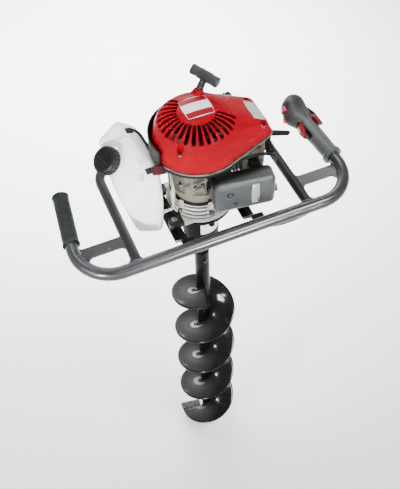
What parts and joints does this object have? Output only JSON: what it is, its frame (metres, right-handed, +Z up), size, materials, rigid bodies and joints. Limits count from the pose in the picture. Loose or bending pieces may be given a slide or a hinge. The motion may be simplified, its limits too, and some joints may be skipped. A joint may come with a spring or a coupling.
{
  "type": "earth auger",
  "caption": "Hand-held petrol earth auger: black helical bit, round-tube frame with a rubber grip and a throttle handle, red starter cover, white side tank, grey muffler",
  "frame": {"origin": "tip of the pilot point at the foot of the bit", "axes": "+Z up the bit axis to the engine, +X along the front bar to the throttle handle, +Y from the front bar to the rear bar"},
  "size_m": [0.5882, 0.2925, 1.2421],
  "materials": {
    "frame_paint": "satin grey metallic paint",
    "black_steel": "semi-gloss black paint",
    "bit_paint": "glossy dark grey paint",
    "blade_steel": "ground steel",
    "rubber": "matt",
    "zinc": "zinc plated",
    "grey_plastic": "fine grain",
    "black_plastic": "fine grain",
    "casting": "die cast, tumbled",
    "black_casting": "black paint on casting",
    "muffler_paint": "satin grey heat paint",
    "red_plastic": "glossy moulded",
    "control_red": "moulded",
    "switch_pink": "moulded",
    "dark_red": "paint",
    "tank_plastic": "translucent white",
    "hose": "clear fuel hose",
    "gear_steel": "machined",
    "bronze": "sintered bronze",
    "rope": "braided",
    "filter": "foam"
  },
  "bodies": {
    "frame": {"front_tube": "frame_paint", "rear_tube": "frame_paint", "brace_strips": "frame_paint", "tube_gusset": "frame_paint", "engine_carriers": "black_steel", "rubber_buffers": "rubber", "carrier_bolts": "zinc", "left_grip": "rubber", "handle_inner_shell": "grey_plastic", "handle_outer_shell": "grey_plastic", "handle_screws": "zinc", "gearbox_housing": "black_casting", "clutch_housing": "casting", "housing_screws": "zinc", "ball_bearings": "gear_steel", "layshaft_bushes": "bronze", "crankcase": "casting", "engine_cylinder": "casting", "spark_plug": "zinc", "plug_boot": "rubber", "plug_lead": "rubber", "ignition_coil": "black_plastic", "muffler": "muffler_paint", "muffler_bolts": "black_steel", "exhaust_pipe": "muffler_paint", "carburettor": "casting", "intake_insulator": "black_plastic", "air_filter_base": "black_plastic", "air_filter_element": "filter", "air_filter_cover": "black_plastic", "fan_plate": "casting", "fan_shroud": "black_plastic", "starter_cover": "red_plastic", "cover_screws": "zinc", "recoil_spring": "gear_steel", "fuel_tank": "tank_plastic", "tank_bracket": "dark_red", "tank_shelf": "black_steel", "fuel_hose": "hose"},
    "auger": {"output_shaft": "gear_steel", "bit_tube": "bit_paint", "drive_pin": "zinc", "bit_flight": "bit_paint", "pilot_point": "bit_paint", "cutting_blade": "blade_steel"},
    "layshaft": {"layshaft": "gear_steel"},
    "clutch_drum": {"clutch_drum": "gear_steel"},
    "crank": {"crankshaft": "gear_steel", "flywheel": "casting", "clutch_rotor": "gear_steel"},
    "starter_pulley": {"starter_pulley": "black_plastic"},
    "starter_handle": {"starter_handle": "grey_plastic", "starter_rope": "rope"},
    "throttle_trigger": {"throttle_trigger": "control_red"},
    "throttle_lock": {"throttle_lock": "control_red"},
    "stop_switch": {"stop_switch": "switch_pink"},
    "start_button": {"start_button": "control_red"},
    "fuel_cap": {"fuel_cap": "black_plastic"},
    "choke_lever": {"choke_lever": "black_plastic"}
  },
  "joints": [
    {"name": "auger_spin", "type": "hinge", "parent": "frame", "child": "auger", "pos_m": [0, 0, 0.9], "axis": [0, 0, 1], "continuous": true},
    {"name": "layshaft_spin", "type": "hinge", "parent": "frame", "child": "layshaft", "pos_m": [0, 0.035, 0.93], "axis": [0, 0, 1], "continuous": true},
    {"name": "drum_spin", "type": "hinge", "parent": "frame", "child": "clutch_drum", "pos_m": [0, 0, 1], "axis": [0, 0, 1], "continuous": true},
    {"name": "crank_spin", "type": "hinge", "parent": "frame", "child": "crank", "pos_m": [0, 0, 1.1], "axis": [0, 0, 1], "continuous": true},
    {"name": "starter_pull", "type": "slide", "parent": "frame", "child": "starter_handle", "axis": [0.4778, 0.1303, 0.8687], "range_m": [0, 0.35], "stiffness_N_per_m": 20, "deforming": ["starter_rope"]},
    {"name": "pulley_turn", "type": "hinge", "parent": "frame", "child": "starter_pulley", "pos_m": [0, 0, 1.178], "axis": [0, 0, 1], "range_deg": [0, 700]},
    {"name": "throttle_squeeze", "type": "hinge", "parent": "frame", "child": "throttle_trigger", "pos_m": [0.25065, 0.04726, 1.03137], "axis": [0.0134, -0.1089, 0.994], "range_deg": [0, 11], "stiffness_Nm_per_rad": 0.4},
    {"name": "lock_press", "type": "hinge", "parent": "frame", "child": "throttle_lock", "pos_m": [0.27649, 0.05011, 1.04341], "axis": [0.9925, 0.1219, 0], "range_deg": [0, 8], "stiffness_Nm_per_rad": 0.3},
    {"name": "stop_push", "type": "slide", "parent": "frame", "child": "stop_switch", "axis": [0.9332, -0.3556, -0.0515], "range_m": [0, 0.003]},
    {"name": "start_push", "type": "slide", "parent": "frame", "child": "start_button", "axis": [0.9985, -0.0513, -0.0191], "range_m": [0, 0.003], "stiffness_N_per_m": 300},
    {"name": "cap_turn", "type": "hinge", "parent": "frame", "child": "fuel_cap", "pos_m": [-0.16211, 0.05122, 1.09989], "axis": [-0.6172, -0.1543, 0.7715], "range_deg": [0, 270]},
    {"name": "choke_swing", "type": "hinge", "parent": "frame", "child": "choke_lever", "pos_m": [0.131, -0.014, 1.116], "axis": [0, 0, 1], "range_deg": [-35, 20]}
  ],
  "couplings": [
    {"joint": "layshaft_spin", "follows": "auger_spin", "ratio": -4.8333},
    {"joint": "drum_spin", "follows": "auger_spin", "ratio": 23.361},
    {"joint": "pulley_turn", "follows": "starter_pull", "rad_per_m": 34.483}
  ]
}
